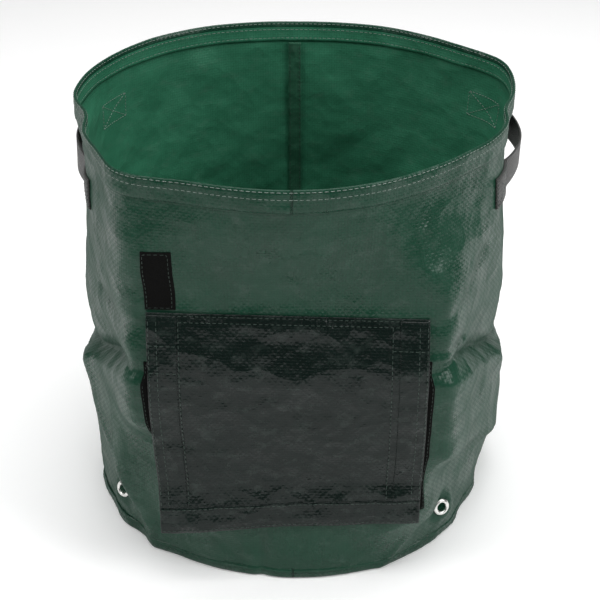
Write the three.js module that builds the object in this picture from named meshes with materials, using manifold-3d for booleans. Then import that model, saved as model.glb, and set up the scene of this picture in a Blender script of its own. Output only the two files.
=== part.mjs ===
// A woven polyethylene grow bag for potatoes: an open round bag with a hemmed rim, two webbing
// handles, plated eyelets for drainage and a harvest window under a hook-and-loop flap.
// Millimetres, +Z up. The front, with the flap, faces -Y, and +X is on its right. The origin is the
// centre of the bag's footprint, on the ground.
import * as THREE from "three";
import { mergeVertices } from "three/addons/utils/BufferGeometryUtils.js";
import Module from "manifold-3d";

// Driving dimensions
const WALL_RADIUS = 175;
const WALL_HEIGHT = 350;
const FABRIC = 0.6; // a sheet of coated woven fabric
const TAPE = 1.2; // one half of a hook-and-loop pair
const GAP = 0.35; // between pieces that touch
const BASE_TAPER = 6; // how far the unfilled wall draws in at the foot
const TAPER_HEIGHT = 110;
const FRONT_FACE = 157; // distance from the axis to the flat front behind the flap

const HEM_HEIGHT = 17;
const SEAM_WIDTH = 12;
const SEAM_LAYERS = 2.4;

const FLAP = { centreX: -3, width: 208, top: 240, hinge: 233, bottom: 52, hem: 22 };
const FLAP_SLOPE = { top: 0.03, bottom: -0.02 }; // how far its edges drop to the right
const WINDOW = { width: 136, low: 82, high: 216, hem: 8 };
const TAPE_WIDTH = 23;
const HOOKS = { low: 80, high: 218, inset: 2 };
const LOOPS = { low: 64, high: 202 };
const KEEPER = { left: -110, low: 245, high: 295 };

const HANDLE = {
  angle: 93, // round from the front, to either side
  halfSpan: 24.5, // to the middle of a sewn end
  endHalf: 6.5,
  z: 302,
  width: 25,
  thickness: 1.6,
  bow: 12, // how far the free loop stands out from the line between its ends
  neck: 5, // height of the loop where it starts to twist
  clear: 3, // how far the loop's own ends stand off the wall
};

const EYELET = { z: 35, hole: 7.6, flange: 13.6, barrel: 9.2, cut: 10, thickness: 0.8 };
const EYELET_ANGLES = { front_left: -56, front_right: 45, back_right: 135, back_left: -146 };

const ROUND_STEPS = 72; // facets round a full ring
const FACET = 360 / ROUND_STEPS;
const ROWS = [0, 18, 44, 62, 95, 130, 165, 205, 242, 268, 296, 316, 333, WALL_HEIGHT]; // facet heights

const degrees = THREE.MathUtils.degToRad;
const { lerp, smoothstep } = THREE.MathUtils;

// Soft shapes in the wall's plan: where each is, in degrees round from the front, its half width,
// how far it stands out, the heights over which it fades in, and those over which it fades out.
const ALWAYS = [WALL_HEIGHT + 100, WALL_HEIGHT + 200];
const PLAN_FEATURES = [
  { at: -39, half: 12, out: 22, fadeIn: [32, 62], fadeOut: [265, 333] }, // corner left of the flap
  { at: -41, half: 11, out: 14, fadeIn: [265, 333], fadeOut: ALWAYS }, // the same fold, at the rim
  { at: 37, half: 12, out: 20, fadeIn: [32, 62], fadeOut: [242, 325] }, // corner right of the flap
  { at: 72, half: 22, out: -7, fadeIn: [-200, -100], fadeOut: [10, 110] }, // lean at the foot
  { at: 44, half: 25, out: -7, fadeIn: [250, 333], fadeOut: ALWAYS },
  { at: -77, half: 9, out: -10, fadeIn: [190, 316], fadeOut: ALWAYS }, // beside the left handle
  { at: 81, half: 8, out: -7, fadeIn: [190, 316], fadeOut: ALWAYS }, // beside the right handle
  { at: -94, half: 13, out: -6, fadeIn: [160, 290], fadeOut: [310, 333] }, // behind the left loop
  { at: 92, half: 13, out: -6, fadeIn: [160, 290], fadeOut: [310, 333] }, // behind the right loop
  { at: 112, half: 13, out: 12, fadeIn: [120, 333], fadeOut: ALWAYS },
  { at: 180, half: 26, out: -8, fadeIn: [200, 333], fadeOut: ALWAYS }, // at the back seam
];

function angleBetween(a, b) {
  return ((((a - b) % 360) + 540) % 360) - 180;
}

function softMinimum(a, b, softness) {
  return -softness * Math.log(Math.exp(-a / softness) + Math.exp(-b / softness));
}

// Distance from the axis to the wall's outer face, at an angle in degrees round from the front.
function wallRadius(angle, z) {
  const low = Math.max(0, 1 - z / TAPER_HEIGHT);
  let radius = WALL_RADIUS - BASE_TAPER * low * low;
  for (const { at, half, out, fadeIn, fadeOut } of PLAN_FEATURES) {
    const turn = angleBetween(angle, at) / half;
    const fade = smoothstep(z, ...fadeIn) * (1 - smoothstep(z, ...fadeOut));
    radius += out * Math.exp(-turn * turn) * fade;
  }
  const toFront = angleBetween(angle, 0);
  if (Math.abs(toFront) > 75) return radius;
  const flat = smoothstep(z, 0, 60) * (1 - smoothstep(z, 245, 333));
  const face = softMinimum(radius, FRONT_FACE / Math.cos(degrees(toFront)), 1);
  return lerp(radius, face, flat);
}

function gridPoint(step, row, out) {
  const angle = FACET * step;
  const radius = wallRadius(angle, ROWS[row]) + out;
  const turn = degrees(angle);
  return new THREE.Vector3(radius * Math.sin(turn), -radius * Math.cos(turn), ROWS[row]);
}

// A point on the faceted wall: degrees round from the front, height, and distance out of its
// outer face.
function onWall(angle, z, out) {
  const round = angle / FACET;
  const step = Math.floor(round + 1e-6);
  const above = ROWS.findIndex((row) => row > z);
  const row = above < 1 ? (above < 0 ? ROWS.length - 2 : 0) : above - 1;
  const up = (z - ROWS[row]) / (ROWS[row + 1] - ROWS[row]);
  const low = gridPoint(step, row, out).lerp(gridPoint(step + 1, row, out), round - step);
  const high = gridPoint(step, row + 1, out).lerp(gridPoint(step + 1, row + 1, out), round - step);
  return low.lerp(high, up);
}

function wallNormal(angle, z) {
  const along = onWall(angle + 1, z, 0).sub(onWall(angle - 1, z, 0));
  const up = onWall(angle, z + 2, 0).sub(onWall(angle, z - 2, 0));
  return along.cross(up).normalize();
}

// The angle at which the wall's outer face reaches this x on the front, at this height.
function frontAngle(x, z) {
  let angle = 0;
  for (let step = 0; step < 30; step++) {
    angle += THREE.MathUtils.radToDeg((x - onWall(angle, z, 0).x) / WALL_RADIUS);
  }
  return angle;
}

// Moves each vertex by a function of its position.
function bend(geometry, place) {
  const position = geometry.getAttribute("position");
  const point = new THREE.Vector3();
  for (let i = 0; i < position.count; i++) {
    const placed = place(point.fromBufferAttribute(position, i));
    position.setXYZ(i, placed.x, placed.y, placed.z);
  }
  geometry.computeVertexNormals();
  return geometry;
}

// A closed ring that follows the wall, from a section of [out of the wall, height] points.
function wallRing(section) {
  const points = [...section, section[0]].map(
    ([out, z]) => new THREE.Vector2(WALL_RADIUS + out, z),
  );
  return bend(new THREE.LatheGeometry(points, ROUND_STEPS), (p) => {
    const out = Math.hypot(p.x, p.z) - WALL_RADIUS;
    return onWall(THREE.MathUtils.radToDeg(Math.atan2(p.x, p.z)), p.y, out);
  });
}

// From one value to another, by way of each of these lines that lies between them.
function stops(from, to, lines) {
  return [from, ...lines.filter((line) => line > from + 0.1 && line < to - 0.1), to];
}

// A sheet that lies on the wall over a range of angles and heights. inner and outer are the
// distances of its two faces from the wall's outer face.
function wallPatch({ from, to, low, high, inner, outer }) {
  const first = Math.ceil(from / FACET);
  const lines = Array.from({ length: Math.ceil((to - from) / FACET) + 1 }, (_, i) => (first + i) * FACET);
  const angles = stops(from, to, lines);
  const heights = stops(low, high, ROWS);
  const sheet = new THREE.BoxGeometry(1, 1, 1, angles.length - 1, heights.length - 1, 1);
  return bend(sheet, (p) => {
    const angle = angles[Math.round((p.x + 0.5) * (angles.length - 1))];
    const height = heights[Math.round((p.y + 0.5) * (heights.length - 1))];
    return onWall(angle, height, lerp(inner, outer, p.z + 0.5));
  });
}

// A flat panel standing in the plane of the flap, between two distances in front of the axis. Its
// level edges take the flap's slope.
function frontPanel(left, right, low, high, near, far) {
  const panel = new THREE.BoxGeometry(right - left, far - near, high - low);
  panel.translate((left + right) / 2, -(near + far) / 2, (low + high) / 2);
  return bend(panel, (p) => {
    const up = (p.z - FLAP.bottom) / (FLAP.top - FLAP.bottom);
    const slope = lerp(FLAP_SLOPE.bottom, FLAP_SLOPE.top, up);
    return p.setZ(p.z - slope * (p.x - FLAP.centreX));
  });
}

const wasm = await Module();
wasm.setup();

function toSolid(geometry) {
  const bare = geometry.clone().deleteAttribute("normal").deleteAttribute("uv");
  const merged = mergeVertices(bare, 1e-3);
  return new wasm.Manifold(
    new wasm.Mesh({
      numProp: 3,
      vertProperties: new Float32Array(merged.attributes.position.array),
      triVerts: new Uint32Array(merged.index.array),
    }),
  );
}

function toGeometry(solid) {
  const { vertProperties, triVerts } = solid.getMesh();
  const geometry = new THREE.BufferGeometry();
  geometry.setAttribute("position", new THREE.BufferAttribute(vertProperties, 3));
  geometry.setIndex(new THREE.BufferAttribute(triVerts, 1));
  geometry.computeVertexNormals();
  return geometry;
}

const materials = {
  fabric: new THREE.MeshStandardMaterial({ color: 0x1d3d30, roughness: 0.35, metalness: 0 }),
  webbing: new THREE.MeshStandardMaterial({ color: 0x2b2a29, roughness: 0.8, metalness: 0 }),
  tape: new THREE.MeshStandardMaterial({ color: 0x0b0a0a, roughness: 0.95, metalness: 0 }),
  eyelet: new THREE.MeshStandardMaterial({ color: 0xc9c9c4, roughness: 0.25, metalness: 1 }),
};

const bag = new THREE.Group();

function add(name, geometry, material) {
  const mesh = new THREE.Mesh(geometry, material);
  mesh.name = name;
  bag.add(mesh);
  return mesh;
}

// Side wall, with the harvest window and the eyelet holes cut through it
const WALL_FOOT = FABRIC + GAP;

function sideWall() {
  const rows = [WALL_FOOT, ...ROWS.slice(1)];
  const outside = rows.map((z) => [0, z]);
  const inside = rows.map((z) => [-FABRIC, z]).reverse();
  let solid = toSolid(wallRing([...outside, ...inside]));

  const height = WINDOW.high - WINDOW.low;
  const opening = new THREE.BoxGeometry(WINDOW.width, 60, height);
  opening.translate(FLAP.centreX, -FRONT_FACE, WINDOW.low + height / 2);
  solid = solid.subtract(toSolid(opening));

  for (const angle of Object.values(EYELET_ANGLES)) {
    const drill = new THREE.CylinderGeometry(EYELET.cut / 2, EYELET.cut / 2, 20, 16);
    const cutter = new THREE.Mesh(drill);
    standOnWall(cutter, angle, EYELET.z);
    cutter.updateMatrix();
    solid = solid.subtract(toSolid(drill.applyMatrix4(cutter.matrix)));
  }
  return toGeometry(solid);
}

// Turns an object's own +Y out of the wall and puts it on the wall's outer face.
function standOnWall(object, angle, z) {
  object.position.copy(onWall(angle, z, 0));
  object.quaternion.setFromUnitVectors(new THREE.Vector3(0, 1, 0), wallNormal(angle, z));
}

// Rim hem: the top edge folded over the wall, inside and out
function rimHem() {
  const low = WALL_HEIGHT - HEM_HEIGHT;
  const high = WALL_HEIGHT + GAP;
  const inner = -FABRIC - GAP;
  return wallRing([
    [GAP, low],
    [GAP + FABRIC, low],
    [GAP + FABRIC, high + FABRIC],
    [inner - FABRIC, high + FABRIC],
    [inner - FABRIC, low],
    [inner, low],
    [inner, high],
    [GAP, high],
  ]);
}

// Round base panel, as wide as the wall's foot
function basePanel() {
  const edge = WALL_RADIUS;
  const section = [
    new THREE.Vector2(0, 0),
    new THREE.Vector2(edge, 0),
    new THREE.Vector2(edge, FABRIC),
    new THREE.Vector2(0, FABRIC),
  ];
  return bend(new THREE.LatheGeometry(section, ROUND_STEPS), (p) => {
    const share = Math.hypot(p.x, p.z) / edge;
    const rim = onWall(THREE.MathUtils.radToDeg(Math.atan2(p.x, p.z)), 0, 0);
    return new THREE.Vector3(rim.x * share, rim.y * share, p.y);
  });
}

// Seam allowance that joins wall and base, turned up round the outside of the foot
function baseSeam() {
  return wallRing([
    [GAP, WALL_FOOT],
    [GAP + 2 * FABRIC, WALL_FOOT],
    [GAP + 2 * FABRIC, 9],
    [GAP, 9],
  ]);
}

// Back seam: the folded allowance where the two ends of the wall panel meet, inside the bag
function backSeam() {
  const half = THREE.MathUtils.radToDeg(SEAM_WIDTH / 2 / WALL_RADIUS);
  return wallPatch({
    from: 180 - half,
    to: 180 + half,
    low: 4,
    high: WALL_HEIGHT - HEM_HEIGHT - 1,
    inner: -FABRIC - GAP - SEAM_LAYERS,
    outer: -FABRIC - GAP,
  });
}

add("side_wall", sideWall(), materials.fabric);
add("rim_hem", rimHem(), materials.fabric);
add("base_panel", basePanel(), materials.fabric);
add("base_seam", baseSeam(), materials.fabric);
add("back_seam", backSeam(), materials.fabric);

// Harvest window: the hem round the opening, inside the wall, in four strips
const windowLeft = FLAP.centreX - WINDOW.width / 2;
const windowRight = FLAP.centreX + WINDOW.width / 2;

function windowStrip(left, right, low, high) {
  return wallPatch({
    from: frontAngle(left, (low + high) / 2),
    to: frontAngle(right, (low + high) / 2),
    low,
    high,
    inner: -2 * FABRIC - GAP,
    outer: -FABRIC - GAP,
  });
}

const hem = WINDOW.hem;
const { low: sillZ, high: headZ } = WINDOW;
add("window_hem_top", windowStrip(windowLeft - hem, windowRight + hem, headZ + 1, headZ + hem), materials.fabric);
add("window_hem_bottom", windowStrip(windowLeft - hem, windowRight + hem, sillZ - hem, sillZ - 1), materials.fabric);
add("window_hem_left", windowStrip(windowLeft - hem, windowLeft - 1, sillZ - 0.5, headZ + 0.5), materials.fabric);
add("window_hem_right", windowStrip(windowRight + 1, windowRight + hem, sillZ - 0.5, headZ + 0.5), materials.fabric);

// Loop tapes sewn on the wall: one each side of the window, and the keeper for the rolled flap
const flapLeft = FLAP.centreX - FLAP.width / 2;
const flapRight = FLAP.centreX + FLAP.width / 2;

function wallTape(left, low, high) {
  const z = (low + high) / 2;
  return wallPatch({
    from: frontAngle(left, z),
    to: frontAngle(left + TAPE_WIDTH, z),
    low,
    high,
    inner: GAP,
    outer: GAP + TAPE,
  });
}

add("loop_tape_left", wallTape(flapLeft - 6, LOOPS.low, LOOPS.high), materials.tape);
add("loop_tape_right", wallTape(flapRight - TAPE_WIDTH, LOOPS.low, LOOPS.high), materials.tape);
add("keeper_tape", wallTape(KEEPER.left, KEEPER.low, KEEPER.high), materials.tape);

// Flap: a top edge sewn to the wall, and below it the panel, its hems and its hook tapes
const hooksNear = FRONT_FACE + 2 * GAP + TAPE;
const panelNear = hooksNear + TAPE + GAP;
const hemNear = panelNear + FABRIC + GAP;

add(
  "flap_top_seam",
  frontPanel(flapLeft, flapRight, FLAP.hinge + 1, FLAP.top, FRONT_FACE + GAP, panelNear + FABRIC),
  materials.fabric,
);
add(
  "flap_panel",
  frontPanel(flapLeft, flapRight, FLAP.bottom, FLAP.hinge, panelNear, panelNear + FABRIC),
  materials.fabric,
);

const flapHems = {
  flap_hem_left: [flapLeft, flapLeft + FLAP.hem, FLAP.bottom + FLAP.hem + GAP, FLAP.hinge],
  flap_hem_right: [flapRight - FLAP.hem, flapRight, FLAP.bottom + FLAP.hem + GAP, FLAP.hinge],
  flap_hem_bottom: [flapLeft, flapRight, FLAP.bottom, FLAP.bottom + FLAP.hem],
};
for (const [name, [left, right, low, high]] of Object.entries(flapHems)) {
  add(name, frontPanel(left, right, low, high, hemNear, hemNear + FABRIC), materials.fabric);
}

const hookTapes = {
  hook_tape_left: flapLeft + HOOKS.inset,
  hook_tape_right: flapRight - HOOKS.inset - TAPE_WIDTH,
};
for (const [name, left] of Object.entries(hookTapes)) {
  const tape = frontPanel(left, left + TAPE_WIDTH, HOOKS.low, HOOKS.high, hooksNear, hooksNear + TAPE);
  add(name, tape, materials.tape);
}

// Handles: webbing with both ends sewn to the wall and a free loop between them
function sewnEnd(middle) {
  return wallPatch({
    from: middle - HANDLE.endHalf,
    to: middle + HANDLE.endHalf,
    low: HANDLE.z - HANDLE.width / 2,
    high: HANDLE.z + HANDLE.width / 2,
    inner: GAP,
    outer: GAP + HANDLE.thickness,
  });
}

// The free loop. It narrows at its two ends, where real webbing twists as the handle swings.
function handleLoop(side) {
  const reach = HANDLE.halfSpan - HANDLE.endHalf - 1;
  const middle = side * HANDLE.angle;
  const start = onWall(middle - reach, HANDLE.z, HANDLE.clear);
  const end = onWall(middle + reach, HANDLE.z, HANDLE.clear);
  const out = new THREE.Vector3(end.y - start.y, start.x - end.x, 0).normalize();
  return bend(new THREE.BoxGeometry(1, 1, 1, 16, 2, 1), (p) => {
    const along = p.x + 0.5;
    const arch = Math.sin(Math.PI * along) ** 0.8;
    const height = lerp(HANDLE.neck, HANDLE.width, smoothstep(arch, 0, 0.9));
    const stand = HANDLE.bow * arch + p.z * HANDLE.thickness;
    const point = start.clone().lerp(end, along).addScaledVector(out, stand);
    return point.setZ(HANDLE.z + height * p.y);
  });
}

for (const [name, side] of [["left", -1], ["right", 1]]) {
  const middle = side * HANDLE.angle;
  add(`handle_${name}_front_end`, sewnEnd(middle - side * HANDLE.halfSpan), materials.webbing);
  add(`handle_${name}_back_end`, sewnEnd(middle + side * HANDLE.halfSpan), materials.webbing);
  add(`handle_${name}_loop`, handleLoop(side), materials.webbing);
}

// Eyelets: a flanged barrel from outside, and a washer round the barrel inside. They are flat, so
// they stand a little off the curved wall.
const SEAT = 0.9;

function eyeletBarrel() {
  const reach = FABRIC + SEAT + EYELET.thickness + 0.4;
  const section = [
    [EYELET.hole / 2, -reach],
    [EYELET.barrel / 2, -reach],
    [EYELET.barrel / 2, SEAT],
    [EYELET.flange / 2, SEAT],
    [EYELET.flange / 2 - 0.5, SEAT + EYELET.thickness],
    [EYELET.hole / 2, SEAT + EYELET.thickness],
    [EYELET.hole / 2, -reach],
  ];
  return new THREE.LatheGeometry(section.map(([r, y]) => new THREE.Vector2(r, y)), 20);
}

function eyeletWasher() {
  const high = -FABRIC - SEAT;
  const low = high - EYELET.thickness;
  const inner = EYELET.barrel / 2 + 0.3;
  const outer = EYELET.flange / 2;
  const section = [
    [inner, low],
    [outer, low],
    [outer, high],
    [inner, high],
    [inner, low],
  ];
  return new THREE.LatheGeometry(section.map(([r, y]) => new THREE.Vector2(r, y)), 20);
}

for (const [place, angle] of Object.entries(EYELET_ANGLES)) {
  standOnWall(add(`eyelet_${place}`, eyeletBarrel(), materials.eyelet), angle, EYELET.z);
  standOnWall(add(`washer_${place}`, eyeletWasher(), materials.eyelet), angle, EYELET.z);
}

// Puts the origin at the centre of the footprint's bounding box.
bag.updateMatrixWorld(true);
const middle = new THREE.Box3().setFromObject(bag, true).getCenter(new THREE.Vector3());
bag.position.set(-middle.x, -middle.y, 0);

export default bag;
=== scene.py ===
"""A woven polyethylene grow bag: crumpled wall, hems, stitching, flap, webbing handles and eyelets."""

import math

import bmesh
import bpy
import numpy as np
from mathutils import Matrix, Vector


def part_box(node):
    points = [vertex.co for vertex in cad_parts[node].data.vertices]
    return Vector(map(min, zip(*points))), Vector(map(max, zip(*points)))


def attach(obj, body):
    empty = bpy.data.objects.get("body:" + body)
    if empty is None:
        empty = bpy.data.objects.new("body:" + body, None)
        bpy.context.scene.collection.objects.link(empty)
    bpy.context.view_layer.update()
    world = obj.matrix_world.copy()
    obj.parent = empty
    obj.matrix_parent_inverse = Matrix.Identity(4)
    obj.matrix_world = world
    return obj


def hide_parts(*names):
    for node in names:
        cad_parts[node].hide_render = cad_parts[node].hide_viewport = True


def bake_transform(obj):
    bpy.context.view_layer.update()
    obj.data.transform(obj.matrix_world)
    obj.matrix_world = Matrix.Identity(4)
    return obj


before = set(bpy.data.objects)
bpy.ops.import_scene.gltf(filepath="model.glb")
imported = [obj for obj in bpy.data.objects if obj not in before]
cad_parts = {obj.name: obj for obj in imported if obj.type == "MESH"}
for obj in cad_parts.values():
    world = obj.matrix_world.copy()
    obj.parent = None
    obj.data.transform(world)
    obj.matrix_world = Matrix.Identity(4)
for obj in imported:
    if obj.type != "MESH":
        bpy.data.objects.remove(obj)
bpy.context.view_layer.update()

# ---------------------------------------------------------------- sizes, in millimetres
MM = 0.001
WALL_RADIUS = 175.0
TURN = 2 * math.pi * WALL_RADIUS  # round the nominal wall
WALL_HEIGHT = 350.0
FABRIC = 0.6
BASE_TAPER = 6.0
TAPER_HEIGHT = 110.0
FRONT_FACE = 157.0  # from the axis to the flat front
WALL_FOOT = 0.95

FLAP_HALF = 104.0
FLAP_BOTTOM = 52.0
FLAP_HINGE = 233.0
FLAP_TOP = 240.0
FLAP_NEAR = 160.45  # from the axis to the panel's inner face
FLAP_SLOPE = (-0.02, 0.03)  # how far the bottom and the top edge drop to the right
WINDOW = (-71.0, 65.0, 82.0, 216.0)

HANDLE_ANGLE = 93.0
HANDLE_HALF_SPAN = 24.5
HANDLE_END_HALF = 6.5
HANDLE_Z = 302.0
HANDLE_WIDTH = 25.0
STRAP = 1.6
HANDLE_BOW = 12.0

EYELET_Z = 35.0
EYELET_CUT = 5.0  # radius of the hole in the cloth
EYELET_ANGLES = {"front_left": -56.0, "front_right": 45.0, "back_right": 135.0, "back_left": -146.0}

# The wall's axis in the part's frame, from the flap, which is centred 3 mm to its left.
flap_low, flap_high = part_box("flap_panel")
FLAP_CENTRE = -3.0
AXIS_X = (flap_low.x + flap_high.x) / 2 / MM - FLAP_CENTRE
AXIS_Y = flap_low.y / MM + FLAP_NEAR + FABRIC


# ---------------------------------------------------------------- shape of the wall
def smoothstep(x, low, high):
    t = np.clip((x - low) / (high - low), 0, 1)
    return t * t * (3 - 2 * t)


def angle_between(a, b):
    return (a - b + 180) % 360 - 180


NEVER = (450, 550)
# Angle, half width, how far it stands out, heights of fading in and of fading out
PLAN_FEATURES = [
    (-39, 12, 22, (20, 100), (265, 333)),
    (-41, 11, 14, (265, 333), NEVER),
    (37, 12, 20, (20, 100), (242, 325)),
    (72, 22, -7, (-200, -100), (10, 110)),
    (44, 25, -7, (250, 333), NEVER),
    (-77, 9, -10, (190, 316), NEVER),
    (81, 8, -7, (190, 316), NEVER),
    (-94, 13, -6, (160, 290), (310, 333)),
    (92, 13, -6, (160, 290), (310, 333)),
    (112, 13, 12, (120, 333), NEVER),
    (180, 26, -8, (200, 333), NEVER),
]

# Low on either side of the front the wall is nearly flat: where, and the heights over which that ends
CORNER_FACE = 168.5  # from the axis to those flat stretches
LOW_CORNERS = [(-34, (100, 150)), (57, (70, 120))]

# Folds in the wall: points (angle, height), how far the crease stands out, and how fast that fades
# above it and below it
FOLDS = [
    ([(-35, 192), (-41, 193), (-47, 184), (-64, 160), (-74, 149), (-92, 142)], -13.0, 14, 5),
    ([(-37, 184), (-47, 174), (-64, 150), (-78, 138)], 5.0, 4, 26),
    ([(-35, 233), (-47, 224), (-62, 222)], -4.5, 8, 7),
    ([(-36, 228), (-46, 208)], -3.5, 5, 5),
    ([(-72, 140), (-67, 110), (-60, 84), (-52, 55), (-44, 17), (-42, 0)], 5.0, 10, 18),
    ([(-34, 84), (-43, 87)], -2.0, 6, 5),
    ([(34, 190), (40, 196), (48, 184), (62, 165), (77, 149), (92, 142)], -13.0, 14, 5),
    ([(35, 182), (48, 174), (62, 155), (78, 139)], 5.0, 4, 22),
    ([(33, 208), (40, 206), (46, 203)], -4.5, 5, 4),
    ([(33, 202), (40, 201), (47, 197)], 4.0, 4, 4),
    ([(33, 116), (48, 98), (64, 78), (78, 62), (92, 52)], 7.5, 24, 9),
    ([(46, 182), (45, 160), (43, 148)], 2.8, 5, 5),
    ([(59, 168), (58, 140), (60, 118)], 2.6, 5, 5),
    ([(70, 168), (73, 120)], 2.2, 6, 6),
    ([(33, 232), (44, 240), (58, 262)], -3.6, 8, 8),
    ([(58, 330), (66, 260), (72, 215)], 1.4, 12, 12),
    ([(-58, 300), (-57, 250)], 1.5, 8, 8),
    ([(-9, 44), (-8.5, 22), (-9, 2)], -3.0, 4, 9),
    ([(-24, 40), (-15, 14)], -2.5, 9, 9),
    ([(24, 0), (31, 22), (36, 45)], 3.0, 8, 8),
    ([(130, 90), (150, 70), (172, 78)], 4.0, 16, 14),
    ([(-110, 118), (-132, 96), (-150, 104)], 4.5, 18, 14),
    ([(-108, 160), (-128, 176), (-148, 168)], -4.5, 16, 12),
    ([(104, 196), (124, 176), (146, 184)], -4.5, 16, 12),
    ([(168, 150), (186, 132), (204, 140)], -3.5, 14, 14),
    ([(-100, 60), (-104, 20)], 3.0, 10, 10),
    ([(100, 52), (108, 8)], 3.0, 10, 10),
    ([(160, 48), (156, 6)], 3.0, 10, 10),
    ([(-165, 52), (-170, 4)], 3.0, 10, 10),
]


def soft_minimum(a, b):
    low = np.minimum(a, b)
    return low - np.log(np.exp(low - a) + np.exp(low - b))


def plan_radius(angle, z):
    """Distance from the axis to the smooth wall, at an angle in degrees round from the front."""
    low = np.maximum(0, 1 - z / TAPER_HEIGHT)
    radius = WALL_RADIUS - BASE_TAPER * low * low
    for at, half, out, fade_in, fade_out in PLAN_FEATURES:
        turn = angle_between(angle, at) / half
        fade = smoothstep(z, *fade_in) * (1 - smoothstep(z, *fade_out))
        radius = radius + out * np.exp(-turn * turn) * fade
    to_front = angle_between(angle, 0)
    flat = smoothstep(z, 0, 60) * (1 - smoothstep(z, 245, 333)) * (np.abs(to_front) < 75)
    face = soft_minimum(radius, FRONT_FACE / np.cos(np.radians(np.clip(to_front, -75, 75))))
    radius = radius + (face - radius) * flat
    for at, fade in LOW_CORNERS:
        turn = angle_between(angle, at)
        plane = CORNER_FACE / np.cos(np.radians(np.clip(turn, -40, 40)))
        cut = soft_minimum(radius / 1.5, plane / 1.5) * 1.5
        share = (1 - smoothstep(z, *fade)) * smoothstep(z, 4, 30) * (np.abs(turn) < 40)
        radius = radius + (cut - radius) * share
    return radius


def to_polyline(s, z, points):
    """Distance from (s, z) to a line of points, positive above it."""
    nearest = np.full(np.shape(s), 1e9)
    signed = np.zeros(np.shape(s))
    for (s0, z0), (s1, z1) in zip(points, points[1:]):
        ds, dz = s1 - s0, z1 - z0
        length = math.hypot(ds, dz)
        t = np.clip(((s - s0) * ds + (z - z0) * dz) / length**2, 0, 1)
        away = np.hypot(s - s0 - t * ds, z - z0 - t * dz)
        side = np.sign(((z - z0) * ds - (s - s0) * dz) * (1 if ds > 0 else -1))
        signed = np.where(away < nearest, side * away, signed)
        nearest = np.minimum(nearest, away)
    return signed


def arc(angle):
    """Millimetres round the nominal wall from the front."""
    return np.radians(angle) * WALL_RADIUS


def folds(angle, z):
    total = np.zeros(np.shape(angle))
    for points, depth, above, below in FOLDS:
        turn = angle_between(angle, points[0][0]) + points[0][0]
        d = to_polyline(arc(turn), z, [(arc(a), h) for a, h in points])
        width = np.where(d > 0, above, below)
        total += depth * np.exp(-(np.sqrt(d * d + 1.2) - 1.1) / width)
    return total


wave_source = np.random.default_rng(7)


def draw_waves(count, turns, rise):
    """Waves round the wall: how many turns each has, how steeply it climbs, and its phase."""
    return [
        (
            int(wave_source.integers(*turns)),
            wave_source.uniform(*rise) * wave_source.choice([-1, 1]),
            wave_source.uniform(0, 6.3),
        )
        for _ in range(count)
    ]


WAVES = draw_waves(22, (5, 26), (0.015, 0.09))
RIPPLES = draw_waves(26, (30, 90), (0.05, 0.3))


def wave_field(angle, z, waves):
    total = np.zeros(np.shape(angle))
    for turns, rise, phase in waves:
        total += np.sin(np.radians(angle) * turns + z * rise + phase)
    return total / math.sqrt(len(waves))


def facets(s, z, size, seed):
    """Crushed sheet: dents about size mm across that meet in ridges, from 0 to about 0.8."""
    count = round(TURN / size)
    step = TURN / count
    jitter = np.random.default_rng(seed).uniform(0.1, 0.9, (count, 64, 2))
    column, row = np.floor(s / step).astype(int), np.floor(z / step).astype(int)
    nearest = np.full(np.shape(s), 9.0)
    for i in (-1, 0, 1):
        for j in (-1, 0, 1):
            place = jitter[(column + i) % count, (row + j) % 64]
            ds = s / step - column - i - place[..., 0]
            dz = z / step - row - j - place[..., 1]
            nearest = np.minimum(nearest, np.hypot(ds * 0.8, dz))
    return nearest


def crumple(angle, z):
    """Slack cloth: long soft waves with crushed dents on them, strongest low down."""
    s = arc(angle)
    leaning = s + 0.35 * z + 9 * np.sin(z / 31)
    dents = 4.6 * (facets(leaning, z + 6 * np.sin(s / 37), 52, 3) - 0.42)
    small_dents = 1.5 * (facets(leaning, z, 23, 5) - 0.42)
    soft = wave_field(angle, z, WAVES)
    fine = wave_field(angle, z, RIPPLES)
    ridged = 1 - np.abs(fine)
    waist = smoothstep(z, 90, 180) * (1 - smoothstep(z, 200, 260))
    limp = 0.55 + 0.6 * (1 - smoothstep(z, 20, 120)) + 0.25 * waist
    held = 1 - 0.6 * smoothstep(z, 325, 340)
    return (0.8 * soft + 0.3 * ridged + dents + small_dents) * limp * held


# Heights, and how far the flat front stands out at each
BULGE = np.array([
    (0, 0), (30, 3), (48, 6.5), (60, 8), (90, 2.5), (140, 7.5), (187, 11), (190, 10.8),
    (233, 0.5), (245, -2.5), (258, -3), (280, -2), (305, 0), (330, 0), (350, 0),
])


def front_bulge(z):
    """How far the flat front stands out: creased across the flap, drawn in at its top seam."""
    return np.interp(z, BULGE[:, 0], BULGE[:, 1])


def calm(angle, z):
    """0 round the eyelets, whose flanges press the cloth flat, and 1 elsewhere."""
    near = np.zeros(np.shape(angle))
    for at in EYELET_ANGLES.values():
        away = np.hypot(arc(angle_between(angle, at)), z - EYELET_Z) / 13
        near = np.maximum(near, np.exp(-(away**4)))
    return 1 - near


# How the cloth slopes round the front eyelets, along and up it, so that they face the front more
EYELET_TURN = {"front_right": (0.55, -0.4), "front_left": (-0.35, -0.4)}


def eyelet_dents(angle, z):
    """Sloped hollows that the front eyelets sit in."""
    total = np.zeros(np.shape(angle))
    for name, (turn, tip) in EYELET_TURN.items():
        ds, dz = arc(angle_between(angle, EYELET_ANGLES[name])), z - EYELET_Z
        total += (turn * ds + tip * dz) * np.exp(-((np.hypot(ds, dz) / 16) ** 4))
    return total


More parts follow.
